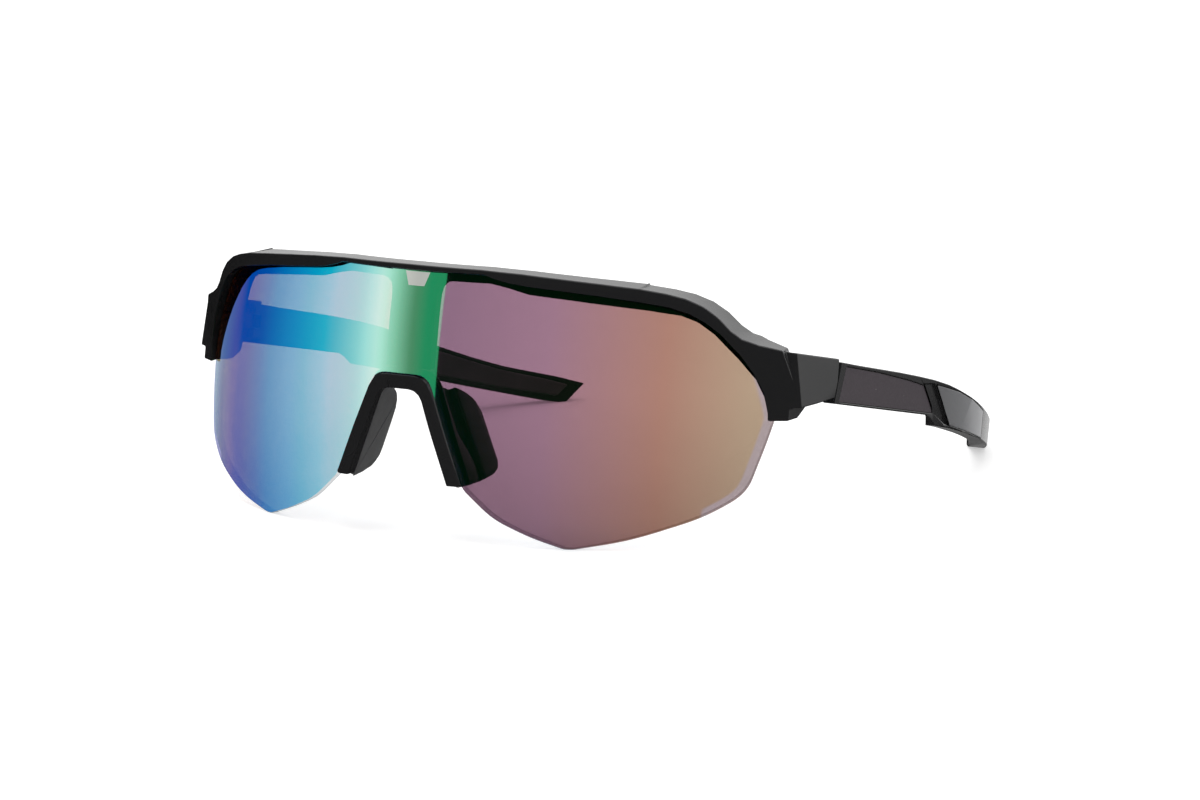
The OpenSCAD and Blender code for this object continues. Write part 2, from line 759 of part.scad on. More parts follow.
// What the step under the temple takes from its inner side, where the deeper stretch starts later
module step_room() {
    low = temple_low_shares[len(temple_low_shares) - 1];
    from = low.x * temple_l;
    to = step_inside_share * temple_l;
    translate([0, 0, low.y * temple_h - 2 * temple_h])
        linear_extrude(2 * temple_h)
            polygon([
                temple_at(from, 0), temple_at(to, temple_depth(to)), temple_at(to, temple_h),
                temple_at(from - overrun, temple_h), temple_at(from - overrun, 0)
            ]);
}

module temple_arm(side) {
    above = -overrun;
    half_h = temple_barrel_h / 2;
    color([0.06, 0.06, 0.07])
        placed()
            above_table(side)
                difference() {
                    union() {
                        difference() {
                            temple_layer(temple_line(0, 0), temple_line(0, 1), temple_outline);
                            temple_layer(
                                temple_line(above, 0), temple_line(inlay_sink + inlay_t + seat_gap, 0),
                                grown(side_outline(inlay_shares), seat_gap)
                            );
                            temple_layer(
                                temple_line(above, 0), temple_line(groove_sink, 0),
                                side_outline(groove_shares)
                            );
                            temple_layer(
                                temple_line(above, 0), temple_line(cover_t + seat_gap, 0),
                                grown(side_outline(cover_shares), seat_gap)
                            );
                            temple_layer(
                                temple_line(-grip_t - seat_gap, 1), temple_line(overrun, 1),
                                grown(side_outline(grip_shares), seat_gap)
                            );
                            step_room();
                            for (low = [half_h, -half_h - temple_h])
                                translate([-temple_h, -temple_h, low])
                                    cube([temple_h + slot_r, temple_h + slot_r, temple_h]);
                        }
                        cylinder(r = barrel_r, h = temple_barrel_h, center = true);
                        translate([-shank_r, 0, -half_h])
                            cube([slot_r, neck_l, temple_barrel_h]);
                    }
                    cylinder(r = screw_clear_r, h = hinge_h, center = true);
                }
}

module temple_inlay(side) {
    color([0.3, 0.27, 0.29])
        placed()
            at_hinge(side)
                temple_layer(
                    temple_line(inlay_sink, 0), temple_line(inlay_sink + inlay_t, 0),
                    side_outline(inlay_shares)
                );
}

module temple_cover(side) {
    color([0.4, 0.4, 0.42])
        placed()
            at_hinge(side)
                temple_layer(temple_line(0, 0), temple_line(cover_t, 0), side_outline(cover_shares));
}

module temple_grip(side) {
    color([0.22, 0.22, 0.23])
        placed()
            at_hinge(side)
                temple_layer(
                    temple_line(-grip_t, 1), temple_line(grip_proud, 1), side_outline(grip_shares)
                );
}

brow_frame();
shield_lens();
nose_bridge();
nose_pad(left);  // nose_pad_left
nose_pad(right);  // nose_pad_right
hinge_insert(left);  // hinge_insert_left
hinge_insert(right);  // hinge_insert_right
hinge_screw(left);  // hinge_screw_left
hinge_screw(right);  // hinge_screw_right
temple_arm(left);  // temple_arm_left
temple_arm(right);  // temple_arm_right
temple_inlay(left);  // temple_inlay_left
temple_inlay(right);  // temple_inlay_right
temple_cover(left);  // temple_cover_left
temple_cover(right);  // temple_cover_right
temple_grip(left);  // temple_grip_left
temple_grip(right);  // temple_grip_right
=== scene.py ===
"""Shield sunglasses standing open on a white table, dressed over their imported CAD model.

Every size is in metres in the CAD model's own frame: X to the wearer's left, Y to the back, Z up.
"""

import json
import math

import bmesh
import bpy
import numpy as np
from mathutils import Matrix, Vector


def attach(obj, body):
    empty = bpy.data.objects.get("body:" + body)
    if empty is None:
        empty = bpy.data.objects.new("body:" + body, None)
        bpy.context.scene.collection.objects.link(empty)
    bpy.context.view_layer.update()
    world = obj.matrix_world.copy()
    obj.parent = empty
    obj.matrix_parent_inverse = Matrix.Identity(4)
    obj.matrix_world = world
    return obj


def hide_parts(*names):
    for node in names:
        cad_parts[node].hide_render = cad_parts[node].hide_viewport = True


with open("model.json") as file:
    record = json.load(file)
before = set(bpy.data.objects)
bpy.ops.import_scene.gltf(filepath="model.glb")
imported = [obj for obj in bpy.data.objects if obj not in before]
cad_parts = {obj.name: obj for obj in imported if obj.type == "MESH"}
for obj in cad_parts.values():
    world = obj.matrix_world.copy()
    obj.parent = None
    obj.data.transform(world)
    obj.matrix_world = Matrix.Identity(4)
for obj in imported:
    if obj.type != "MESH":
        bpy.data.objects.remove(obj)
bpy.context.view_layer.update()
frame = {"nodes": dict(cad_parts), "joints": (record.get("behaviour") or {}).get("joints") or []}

bl_info = {
    "name": "Shield sunglasses",
    "version": (1, 0, 0),
    "blender": (4, 5, 0),
    "location": "3D View > Sidebar > Sunglasses",
    "description": "Mirror-coated shield lens, lacquered frame, rubber pads and folding temples",
    "category": "Object",
}

MM = 0.001
# The front of the lens lies this far in front of the hinges
HINGE_DEPTH = 49 * MM
FRONT = frame["joints"][0]["pos_m"][1] - HINGE_DEPTH
SENSOR_WIDTH = 36.0
NEAREST = 0.01
FARTHEST = 50


# Colours and nodes

def linear(hex_colour):
    """The linear RGBA of an sRGB hex value."""
    value = np.array([int(hex_colour[i:i + 2], 16) for i in (1, 3, 5)]) / 255
    curve = np.where(value <= 0.04045, value / 12.92, ((value + 0.055) / 1.055) ** 2.4)
    return (*(float(c) for c in curve), 1.0)


def per_mm(size):
    """The scale of a pattern on Object coordinates whose features are size millimetres apart."""
    return 1 / (size * MM)


def add(tree, kind, inputs=None, stops=None, **settings):
    """Adds a node with its settings, its input values or links, and a colour ramp's stops."""
    node = tree.nodes.new(kind)
    for name, value in settings.items():
        setattr(node, name, value)
    for socket, value in (inputs or {}).items():
        if isinstance(value, bpy.types.NodeSocket):
            tree.links.new(value, node.inputs[socket])
        else:
            node.inputs[socket].default_value = value
    if stops:
        elements = node.color_ramp.elements
        while len(elements) < len(stops):
            elements.new(1.0)
        for element, (position, colour) in zip(elements, stops):
            element.position = position
            element.color = colour
    return node


def calc(tree, operation, *values):
    """The result of a maths node."""
    return add(tree, "ShaderNodeMath", dict(enumerate(values)), operation=operation).outputs[0]


def remap(tree, value, low, high, to_low=0.0, to_high=1.0):
    """A value moved from one range to another and held within it."""
    return add(tree, "ShaderNodeMapRange", {
        "Value": value, "From Min": low, "From Max": high, "To Min": to_low, "To Max": to_high}).outputs[0]


def ramp(tree, value, stops):
    """The colour that a value has on a ramp."""
    return add(tree, "ShaderNodeValToRGB", {"Fac": value}, stops).outputs[0]


def blend(tree, share, first, second, **settings):
    """Two colours mixed by the second one's share."""
    inputs = {"Factor": share, 6: first, 7: second}
    return add(tree, "ShaderNodeMix", inputs, data_type="RGBA", **settings).outputs[2]


def noise(tree, place, size, detail):
    """Cloudy noise whose features are size millimetres apart."""
    return add(tree, "ShaderNodeTexNoise", {"Vector": place, "Scale": per_mm(size), "Detail": detail})


def bumped(tree, pattern, strength, depth):
    """The normal of a surface that a pattern raises by up to depth millimetres."""
    inputs = {"Height": pattern.outputs["Fac"], "Strength": strength, "Distance": depth * MM}
    return add(tree, "ShaderNodeBump", inputs).outputs[0]


def facing(tree):
    """1 - cos of the angle of sight."""
    return add(tree, "ShaderNodeLayerWeight", {"Blend": 0.5}).outputs["Facing"]


def new_material(name):
    """An empty node material; returns the material, its tree and the place on the object."""
    material = bpy.data.materials.new(name)
    material.use_nodes = True
    tree = material.node_tree
    tree.nodes.clear()
    return material, tree, add(tree, "ShaderNodeTexCoord").outputs["Object"]


def see_through(tree, cover, clear, face):
    """A clear shader and the one that covers a share of it."""
    return add(tree, "ShaderNodeMixShader", {0: cover, 1: clear.outputs[0], 2: face.outputs[0]})


def surfaced(material, shader):
    """Ends a material in its shader."""
    add(material.node_tree, "ShaderNodeOutputMaterial", {"Surface": shader.outputs[0]})
    return material


def varied(colour, swing):
    """Two stops of a ramp round a colour, darker and paler by the swing."""
    return [(0.3, (*[(1 - swing) * c for c in colour], 1)), (0.7, (*[(1 + swing) * c for c in colour], 1))]


def grey(level):
    """A neutral linear colour."""
    return (level, level, level, 1.0)


# Settings

class LensSettings(bpy.types.PropertyGroup):
    """Sizes and colours of the lens."""
    half_width: bpy.props.FloatProperty(
        name="Half width", description="Half of the lens's width across its side edges",
        default=66.4 * MM, unit="LENGTH")
    height: bpy.props.FloatProperty(
        name="Height", description="Height of the lens from its points to its top edge",
        default=52.2 * MM, unit="LENGTH")
    thickness: bpy.props.FloatProperty(
        name="Thickness", description="Thickness of the lens", default=1.9 * MM, unit="LENGTH")
    radius: bpy.props.FloatProperty(
        name="Wrap radius", description="Radius of the lens seen from above, at its widest level",
        default=86.9 * MM, unit="LENGTH")
    bow_radius: bpy.props.FloatProperty(
        name="Bow radius", description="Radius of the lens's bow seen from the side",
        default=238 * MM, unit="LENGTH")
    bow_level: bpy.props.FloatProperty(
        name="Bow level", description="Height of the bow's widest level",
        default=-2.5 * MM, unit="LENGTH")
    front: bpy.props.FloatProperty(
        name="Front", description="Place of the foremost line of the lens",
        default=FRONT, unit="LENGTH")
    roughness: bpy.props.FloatProperty(
        name="Roughness", description="Roughness of the mirror coating", default=0.03, min=0, max=1,
        subtype="FACTOR")
    # The orange of the cut edge's painted reflection at the sides
    edge_reflection_colour: bpy.props.FloatVectorProperty(
        name="Edge colour", description="Colour that the lens's cut edge gathers",
        default=linear("#b9683a")[:3], subtype="COLOR", size=3)


class FrameSettings(bpy.types.PropertyGroup):
    """Finish of the frame, the bridge and the temples."""
    edge: bpy.props.FloatProperty(
        name="Edge radius", description="Width of the moulded radius along outer edges",
        default=0.3 * MM, unit="LENGTH")
    black: bpy.props.FloatVectorProperty(
        name="Lacquer", description="Colour of the lacquered nylon",
        default=linear("#252526")[:3], subtype="COLOR", size=3)
    inlay: bpy.props.FloatVectorProperty(
        name="Inlay", description="Colour of the temples' matt inlays",
        default=linear("#4f474d")[:3], subtype="COLOR", size=3)
    rubber: bpy.props.FloatVectorProperty(
        name="Rubber", description="Colour of the nose pads and the grips",
        default=linear("#464647")[:3], subtype="COLOR", size=3)


class StageSettings(bpy.types.PropertyGroup):
    """Camera, floor and light."""
    azimuth: bpy.props.FloatProperty(
        name="Azimuth", description="Camera's azimuth, 0 looking at the front",
        default=math.radians(31.38), subtype="ANGLE")
    elevation: bpy.props.FloatProperty(
        name="Elevation", description="Camera's height above the horizon",
        default=math.radians(10.16), subtype="ANGLE")
    distance: bpy.props.FloatProperty(
        name="Distance", description="Camera's distance from what it looks at",
        default=1.0, unit="LENGTH")
    focal: bpy.props.FloatProperty(
        name="Focal length", description="Camera's focal length", default=150.8, unit="CAMERA")
    aim: bpy.props.FloatVectorProperty(
        name="Aim", description="Point at the middle of the picture",
        default=(22.6 * MM, FRONT + 40.0 * MM, 23.3 * MM), subtype="TRANSLATION", size=3)
    ambient: bpy.props.FloatProperty(
        name="Ambient", description="Level of the light from all round", default=0.62, min=0, max=1,
        subtype="FACTOR")
    lamp: bpy.props.FloatProperty(
        name="Lamp", description="Power of the soft light overhead", default=9.0, min=0, unit="POWER")


# The lens's surface

# The lens's outline as in the CAD source: shares of the half width and height, and each corner's cut as a
# share of the height. The lower line runs from the notch to the side edge, the upper one on to the top.
LENS_LOW = [
    (0.094, 0.615, 0.0613), (0.222, 0.205, 0.0172), (0.315, 0.1025, 0.0517), (0.423, 0.041, 0.0517),
    (0.519, 0.0, 0.0), (0.543, 0.0, 0.0), (0.692, 0.037, 0.09), (0.862, 0.118, 0.07), (0.953, 0.2, 0.055),
    (0.986, 0.375, 0.06), (1.0, 0.47, 0.02),
]
LENS_HIGH = [
    (0.996, 0.51, 0.02), (0.968, 0.646, 0.03), (0.936, 0.72, 0.03), (0.89, 0.8, 0.03), (0.856, 0.848, 0.03),
    (0.815, 0.886, 0.03), (0.764, 0.912, 0.03), (0.58, 0.951, 0.05), (0.36, 0.983, 0.03),
    (0.256, 1.0, 0.0172),
]
MOST_CUT_SHARE = 0.45
CORNER_STEPS = 6


def rounded(points):
    """An open line with its inner corners rounded.

    A corner B becomes (1-t)^2 P + 2t(1-t) B + t^2 Q, with P and Q on its two sides.
    """
    before, at, after = points[:-2], points[1:-1], points[2:]
    to_before, to_after = before[:, :2] - at[:, :2], after[:, :2] - at[:, :2]
    far = np.minimum(np.linalg.norm(to_before, axis=1), np.linalg.norm(to_after, axis=1))
    cut = np.minimum(at[:, 2], MOST_CUT_SHARE * far)[:, None]
    start = at[:, :2] + cut * to_before / np.linalg.norm(to_before, axis=1)[:, None]
    end = at[:, :2] + cut * to_after / np.linalg.norm(to_after, axis=1)[:, None]
    t = np.linspace(0, 1, CORNER_STEPS)[None, :, None]
    curve = (1 - t) ** 2 * start[:, None] + 2 * t * (1 - t) * at[:, None, :2] + t ** 2 * end[:, None]
    return np.vstack([points[:1, :2], curve.reshape(-1, 2), points[-1:, :2]])


def lens_outline(s):
    """The lower and the upper line of one half of the lens, each as x and z from the middle outwards."""
    half = np.array([(0.0, 0.615, 0.0)] + LENS_LOW + LENS_HIGH + [(0.0, 1.0, 0.0)])
    line = rounded(half * (s.half_width, s.height, s.height))
    widest = int(np.argmax(line[:, 0]))
    return line[:widest + 1], line[widest:][::-1]


def along_line(line, step):
    """Points a step apart along a line of points."""
    length = np.concatenate([[0], np.cumsum(np.linalg.norm(np.diff(line, axis=0), axis=1))])
    at = np.arange(0, length[-1], step)
    return np.column_stack([np.interp(at, length, line[:, 0]), np.interp(at, length, line[:, 1])])


def wrap_at(s, z):
    """Radius of the lens's outer face about its upright axis at height z."""
    return s.radius - s.bow_radius + np.sqrt(s.bow_radius ** 2 - (z - s.bow_level) ** 2)


COLUMN_STEP = 0.7 * MM
LENS_ROWS = 26
# The section turns inwards by this much at the sides, from this far out and over this width
SIDE_TURN = math.radians(40)
TURN_FROM = 30 * MM
TURN_OVER = 12 * MM
# The eased corners of the section: how far they are drawn in, at most a share of the height, and the shares
# of the thickness between which the cut edge is flat
LENS_EASE = 0.16 * MM
EASE_SHARE = 0.25
FLAT_EDGE = [0.09, 0.91]
LENS_SMOOTH = math.radians(30)
# The side edges, along which a highlight is painted, begin at this share of the half width, and are followed
# in these steps
HIGHLIGHT_FROM = 0.87
HIGHLIGHT_STEP = 0.4 * MM


def lens_points(s):
    """Points of the closed lens, columns across by rows round the section, with its lower and upper lines.

    A point is the outer face's at (x, z), y = front + R - sqrt(r(z)^2 - x^2), moved on by a share of the way
    to the inner face, along a line that turns from straight back in the middle to SIDE_TURN at the sides.
    """
    low, high = lens_outline(s)
    half = along_line(low, COLUMN_STEP)[:, 0]
    x = np.concatenate([-half[:0:-1], half])[:, None]
    z_low = np.interp(np.abs(x), low[:, 0], low[:, 1])
    z_high = np.interp(np.abs(x), high[:, 0], high[:, 1])
    v = np.linspace(0, 1, LENS_ROWS)
    height_share = np.concatenate([v, [1, 1], v[::-1], [0, 0]])
    inset = np.concatenate([1 - 2 * v, [0, 0], 2 * v - 1, [0, 0]])
    depth = np.concatenate([0 * v, FLAT_EDGE, 0 * v + 1, FLAT_EDGE[::-1]])
    ease = np.minimum(LENS_EASE, EASE_SHARE * (z_high - z_low))
    z = z_low + (z_high - z_low) * height_share + inset * ease
    outer = wrap_at(s, z)
    x = np.broadcast_to(x, z.shape)
    from_axis = -np.sqrt(outer ** 2 - x ** 2)
    turn = SIDE_TURN * np.clip((np.abs(x) - TURN_FROM) / TURN_OVER, 0, 1)
    dx, dy = -np.sign(x) * np.sin(turn), np.cos(turn)
    along = x * dx + from_axis * dy
    reach = -along - np.sqrt(along ** 2 - (outer ** 2 - (outer - s.thickness) ** 2))
    step = reach * depth
    points = np.stack([x + step * dx, s.front + s.radius + from_axis + step * dy, z], axis=-1)
    return points, low, high


def closed_loft(points):
    """Faces of a closed tube: rings of points joined in order, with a face over each end."""
    rings, around = points.shape[:2]
    index = np.arange(rings * around).reshape(rings, around)
    here, beside = index[:-1], index[1:]
    quads = np.stack([here, beside, np.roll(beside, -1, axis=1), np.roll(here, -1, axis=1)], axis=-1)
    return quads.reshape(-1, 4).tolist() + [index[0].tolist(), index[-1][::-1].tolist()]


def mesh_object(name, points, faces):
    """A new object at the origin from points and faces."""
    mesh = bpy.data.meshes.new(name)
    mesh.from_pydata(points.reshape(-1, 3).tolist(), [], faces)
    piece = bpy.data.objects.new(name, mesh)
    bpy.context.scene.collection.objects.link(piece)
    return piece


def outward(piece):
    """Turns the faces of a closed piece outwards."""
    work = bmesh.new()
    work.from_mesh(piece.data)
    bmesh.ops.recalc_face_normals(work, faces=work.faces)
    work.to_mesh(piece.data)
    work.free()


# Eased copies of CAD solids

MERGE_WITHIN = 2e-6
FLAT_WITHIN = math.radians(0.4)
SHARP_FROM = math.radians(24)
SHORT_EDGE = 0.12 * MM
EDGE_SEGMENTS = 2


def eased_copy(node, name, width, keep_off=(), keep_radius=0.0, short=SHORT_EDGE, keep_low=0.0):
    """A copy of a CAD solid with its triangles merged, its flat faces joined and a radius along its edges.

    The edges within keep_radius of the keep_off points, such as a hinge's, stay sharp, and so do the short
    ones and the ones within keep_low of the lowest point.
    """
    source = frame["nodes"][node]
    work = bmesh.new()
    work.from_mesh(source.data)
    bmesh.ops.remove_doubles(work, verts=work.verts, dist=MERGE_WITHIN)
    bmesh.ops.dissolve_degenerate(work, edges=work.edges, dist=MERGE_WITHIN)
    bmesh.ops.dissolve_limit(
        work, angle_limit=FLAT_WITHIN, verts=work.verts, edges=work.edges, use_dissolve_boundaries=False)
    weights = work.edges.layers.float.new("bevel_weight_edge")
    points = [Vector(p) for p in keep_off]
    low = min(vert.co.z for vert in work.verts) + keep_low
    for edge in work.edges:
        angle = edge.calc_face_angle(0.0) if edge.is_manifold else 0.0
        middle = (edge.verts[0].co + edge.verts[1].co) / 2
        near = middle.z < low or any((middle - p).length < keep_radius for p in points)
        edge.smooth = angle < SHARP_FROM
        eased = not edge.smooth and not near and edge.calc_length() > short
        edge[weights] = 1.0 if eased else 0.0
    for face in work.faces:
        face.smooth = True
    mesh = bpy.data.meshes.new(name)
    work.to_mesh(mesh)
    work.free()
    piece = bpy.data.objects.new(name, mesh)
    bpy.context.scene.collection.objects.link(piece)
    ease = piece.modifiers.new("Moulded edges", "BEVEL")
    ease.limit_method = "WEIGHT"
    ease.width = width
    ease.segments = EDGE_SEGMENTS
    ease.use_clamp_overlap = False
    ease.harden_normals = True
    ease.miter_outer = "MITER_ARC"
    return piece


def finish_piece(piece, materials, body, nodes):
    """Gives a piece its materials, in their slots, and its body, and hides the CAD nodes that it stands for.
    """
    for material in materials:
        piece.data.materials.append(material)
    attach(piece, body)
    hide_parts(*nodes)


# Materials

# What the mirror coating reflects by the angle of sight: 1 - cos of the incidence, and the colour. It is a
# stack of thin films, so it runs from green through mint and cyan to blue and violet at the sides. The pale
# mint from 0.15 to 0.25 is a painted highlight over the coating's colour.
COAT_AND_HIGHLIGHT_COLOURS = [
    (0.0, "#30b060"), (0.13, "#30be7e"), (0.15, "#64bc88"), (0.175, "#98ecc4"), (0.21, "#bcf5e6"),
    (0.25, "#94e8e8"), (0.33, "#10d6f6"), (0.42, "#00b2f6"), (0.55, "#0078ea"), (0.65, "#2068ec"),
    (0.7, "#8878e8"), (0.9, "#cdc0cd"),
]
# How much of the surface is mirror rather than clear, by the same measure; the rise round 0.2 belongs to the
# painted highlight
COAT_AND_HIGHLIGHT_COVER = [
    (0.0, 0.5), (0.15, 0.5), (0.173, 0.6), (0.2, 0.86), (0.23, 0.84), (0.26, 0.72), (0.3, 0.62), (0.36, 0.57),
    (0.45, 0.52), (0.6, 0.42), (0.7, 0.42), (0.8, 0.45), (0.9, 0.5),
]
# What the coating lets through by the same measure, as shares of CLEAREST: the opposite of what it reflects
CLEAREST = 2.6
COAT_THROUGH = [
    (0.0, (0.38, 0.38, 0.38)), (0.13, (0.38, 0.38, 0.38)), (0.2, (1.0, 0.44, 0.5)), (0.24, (0.6, 0.15, 0.2)),
    (0.31, (0.6, 0.4, 0.25)), (0.38, (0.32, 0.44, 0.17)), (0.5, (0.16, 0.36, 0.16)),
    (0.62, (0.16, 0.21, 0.07)), (0.78, (0.18, 0.2, 0.04)), (0.89, (0.28, 0.4, 0.4)),
]
# The dye of the tinted sheet by position, as a share of the half width
TINT_ACROSS = [(0.0, "#7b5c74"), (0.45, "#8f6b7e"), (0.75, "#9e7468"), (0.95, "#a58e79")]
# The dye is a little deeper higher up, up to this height
DYE_LOW = 1.5 * CLEAREST
DYE_HIGH = 2.0 * CLEAREST
DYE_FULL = 30 * MM
# The painted highlight, a pale band along the side edges: where it is full, where it ends, and how much it
# covers
HIGHLIGHT_FULL = 1.3 * MM
HIGHLIGHT_END = 1.7 * MM
HIGHLIGHT_COVER = 0.75
# The bare patch in the coating at the top: where its middle, top and bottom lie, and half its width at both
PATCH_X = 1.7 * MM
PATCH_TOP = 51.9 * MM
PATCH_LOW = 49.2 * MM
PATCH_HALF_TOP = 2.8 * MM
PATCH_HALF_LOW = 1.8 * MM


def patch_mask(tree, parts):
    """1 on the bare patch, which narrows from its top to its bottom, and 0 round it."""
    off = calc(tree, "ABSOLUTE", calc(tree, "SUBTRACT", parts.outputs["X"], PATCH_X))
    reach = remap(tree, parts.outputs["Z"], PATCH_LOW, PATCH_TOP, PATCH_HALF_LOW, PATCH_HALF_TOP)
    under = calc(tree, "LESS_THAN", parts.outputs["Z"], PATCH_TOP)
    over = calc(tree, "GREATER_THAN", parts.outputs["Z"], PATCH_LOW)
    beside = calc(tree, "LESS_THAN", off, reach)
    return calc(tree, "MULTIPLY", calc(tree, "MULTIPLY", under, over), beside)


def mirror_material(s):
    """Polycarbonate, dyed and mirror coated: it reflects in colours and shows rose-brown through."""
    material, tree, place = new_material("polycarbonate_mirror_coated")
    # The films' colour changes with the angle of sight only, as gloss does; its pale mint band is a painted
    # highlight
    sight = facing(tree)
    coat = ramp(tree, sight, [(p, linear(c)) for p, c in COAT_AND_HIGHLIGHT_COLOURS])
    cover = ramp(tree, sight, [(p, grey(c)) for p, c in COAT_AND_HIGHLIGHT_COVER])
    thinning = ramp(tree, sight, [(p, (*c, 1)) for p, c in COAT_THROUGH])
    parts = add(tree, "ShaderNodeSeparateXYZ", {0: place})
    share = calc(tree, "DIVIDE", calc(tree, "ABSOLUTE", parts.outputs["X"]), s.half_width)
    tint = ramp(tree, share, [(p, linear(c)) for p, c in TINT_ACROSS])
    deep = remap(tree, parts.outputs["Z"], 0.0, DYE_FULL, DYE_LOW, DYE_HIGH)
    dyed = add(tree, "ShaderNodeVectorMath", {0: tint, "Scale": deep}, operation="SCALE")
    through = add(tree, "ShaderNodeVectorMath", {0: dyed.outputs[0], 1: thinning}, operation="MULTIPLY")
    # Painted highlight: near the side edges the colour seen through the lens turns paler, as where ground
    # edges catch light
    rim = add(tree, "ShaderNodeAttribute", attribute_name="side_edge")
    edge_highlight = remap(tree, rim.outputs["Fac"], HIGHLIGHT_FULL, HIGHLIGHT_END, HIGHLIGHT_COVER, 0.0)
    highlighted = blend(tree, edge_highlight, through.outputs[0], linear("#d3c3cf"))
    marked = blend(tree, patch_mask(tree, parts), coat, linear("#f2f6ee"))
    film = add(tree, "ShaderNodeBsdfPrincipled", {
        "Base Color": marked, "Metallic": 1.0, "Roughness": s.roughness,
        "Specular Tint": (0.3, 0.6, 1.0, 1.0)})
    clear = add(tree, "ShaderNodeBsdfTransparent", {"Color": highlighted})
    return surfaced(material, see_through(tree, cover, clear, film))


def bare_polycarbonate():
    """Polycarbonate, polished: the uncoated back of the lens, clear with a faint gloss."""
    material, tree, _ = new_material("polycarbonate_polished")
    # A plain dielectric's gloss: about 5% square on, more at a low angle, the same from both sides
    gloss = ramp(tree, facing(tree), [
        (0.0, grey(0.05)), (0.5, grey(0.09)), (0.7, grey(0.22)), (0.9, grey(0.5))])
    face = add(tree, "ShaderNodeBsdfPrincipled", {
        "Base Color": grey(0.9), "Metallic": 1.0, "Roughness": 0.04})
    clear = add(tree, "ShaderNodeBsdfTransparent", {"Color": grey(0.98)})
    return surfaced(material, see_through(tree, gloss, clear, face))


# Where the cut edge's painted reflection changes from teal to orange, by the distance from the middle
TEAL_REFLECTION_TO = 34 * MM
ORANGE_REFLECTION_FROM = 42 * MM


def cut_edge(s):
    """Polycarbonate, cut and polished edge, coloured with a painted reflection: teal in the middle, orange at
    the sides.
    """
    material, tree, place = new_material("polycarbonate_cut_edge")
    # Cutter marks, too fine to see but as a slight unevenness
    marks = noise(tree, place, 0.3, 2.0)
    parts = add(tree, "ShaderNodeSeparateXYZ", {0: place})
    # Painted reflection: the edge is coloured teal in the middle and orange at the sides, as the reflections
    # that it picks up there
    side = remap(tree, calc(tree, "ABSOLUTE", parts.outputs["X"]), TEAL_REFLECTION_TO, ORANGE_REFLECTION_FROM)
    painted_reflection = blend(tree, side, linear("#1f6f86"), (*s.edge_reflection_colour, 1))
    shade = blend(tree, 0.15, painted_reflection, marks.outputs["Color"], blend_type="OVERLAY")
    return surfaced(material, add(tree, "ShaderNodeBsdfPrincipled", {
        "Base Color": shade, "Roughness": 0.25, "IOR": 1.58, "Alpha": 0.4}))


def lacquered_nylon(name, colour, roughness, grain, coat=0.0):
    """Nylon, moulded: black with a slight orange peel, under a clear lacquer where coat is above 0."""
    material, tree, place = new_material(name)
    peel, cloud = noise(tree, place, grain, 3.0), noise(tree, place, 14, 2.0)
    # Handling leaves the gloss a little uneven over a centimetre or so
    rough = remap(tree, cloud.outputs["Fac"], 0.0, 1.0, 0.8 * roughness, 1.25 * roughness)
    return surfaced(material, add(tree, "ShaderNodeBsdfPrincipled", {
        "Base Color": (*colour, 1), "Roughness": rough, "IOR": 1.53, "Normal": bumped(tree, peel, 0.35, 0.02),
        "Coat Weight": coat, "Coat Roughness": 0.06}))


def moulded_rubber(s):
    """Thermoplastic rubber, moulded: dark grey and matt, with a fine even grain."""
    material, tree, place = new_material("rubber_moulded")
    grain, cloud = noise(tree, place, 0.35, 4.0), noise(tree, place, 6, 2.0)
    shade = ramp(tree, cloud.outputs["Fac"], varied(s.rubber, 0.15))
    return surfaced(material, add(tree, "ShaderNodeBsdfPrincipled", {
        "Base Color": shade, "Roughness": 0.55, "IOR": 1.5, "Normal": bumped(tree, grain, 0.4, 0.03),
        "Sheen Weight": 0.15}))


def matt_inlay(s):
    """Nylon, moulded in a spark-eroded tool: matt purple-grey with a few paler specks."""
    material, tree, place = new_material("nylon_spark_eroded")
    grain = noise(tree, place, 0.4, 4.0)
    # A speck is 0.25 mm across, one in about 2.6 mm
    specks = add(tree, "ShaderNodeTexVoronoi", {"Vector": place, "Scale": per_mm(2.6), "Randomness": 1.0})
    dot = remap(tree, specks.outputs["Distance"], 0.04, 0.08, 0.8, 0.0)
    shade = blend(tree, dot, ramp(tree, grain.outputs["Fac"], varied(s.inlay, 0.12)), linear("#a9a0a4"))
    return surfaced(material, add(tree, "ShaderNodeBsdfPrincipled", {
        "Base Color": shade, "Roughness": 0.62, "IOR": 1.53, "Normal": bumped(tree, grain, 0.5, 0.03)}))


# Where along the temple the grey lacquer begins to brighten, and where it has brightened fully
BRIGHTENS_FROM = 14 * MM
BRIGHTENS_TO = 46 * MM


def grey_lacquer():
    """Nylon, metallic grey lacquer: a soft grey sheen that brightens towards the temple's end."""
    material, tree, place = new_material("nylon_grey_lacquer")
    parts = add(tree, "ShaderNodeSeparateXYZ", {0: place})
    along = remap(tree, parts.outputs["Y"], BRIGHTENS_FROM, BRIGHTENS_TO)
    tone = ramp(tree, along, [(0.0, linear("#747476")), (1.0, linear("#a3a4a7"))])
    flake = noise(tree, place, 0.25, 3.0)
    shade = blend(tree, 0.12, tone, flake.outputs["Color"], blend_type="OVERLAY")
    return surfaced(material, add(tree, "ShaderNodeBsdfPrincipled", {
        "Base Color": shade, "Metallic": 0.1, "Roughness": 0.34, "IOR": 1.53, "Coat Weight": 0.4,
        "Coat Roughness": 0.1}))


def turned_metal(name, hex_colour, roughness):
    """Metal, turned on a lathe: fine tool marks that blur its reflections."""
    material, tree, place = new_material(name)
    marks = noise(tree, place, 0.15, 3.0)
    rough = remap(tree, marks.outputs["Fac"], 0.0, 1.0, 0.7 * roughness, 1.3 * roughness)
    return surfaced(material, add(tree, "ShaderNodeBsdfPrincipled", {
        "Base Color": linear(hex_colour), "Metallic": 1.0, "Roughness": rough}))


# Operators

